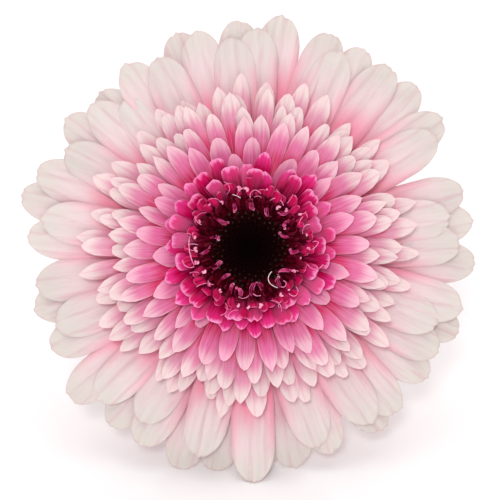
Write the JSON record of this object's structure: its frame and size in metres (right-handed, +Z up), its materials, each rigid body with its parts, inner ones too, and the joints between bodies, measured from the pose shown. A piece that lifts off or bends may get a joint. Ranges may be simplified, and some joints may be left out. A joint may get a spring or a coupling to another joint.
{
  "type": "cut gerbera flower",
  "caption": "Double gerbera head in pale and rose pink with a dark eye, on a leafless curved stem that is cut on a slant, lying on a surface.",
  "frame": {"origin": "middle of the footprint, on the surface that the flower lies on", "axes": "+Y from the head along the stem to its cut end, +Z up, and the head faces -Y and leans back"},
  "size_m": [0.1068, 0.2567, 0.0982],
  "materials": {
    "stem": "pale green, faintly ribbed and downy",
    "bracts": "mid green, matte and downy",
    "outer_rays": "pale pink petal, soft sheen, fine lengthwise veins",
    "trans_florets": "rose pink petal, paler towards its tip",
    "inner_florets": "deep pink petal with a pale rim",
    "disc_florets": "near-black maroon, matte"
  },
  "bodies": {
    "root": {"stem": "stem", "involucre": "bracts", "outer_rays": "outer_rays", "trans_florets": "trans_florets", "inner_florets": "inner_florets", "disc_florets": "disc_florets"}
  },
  "joints": []
}
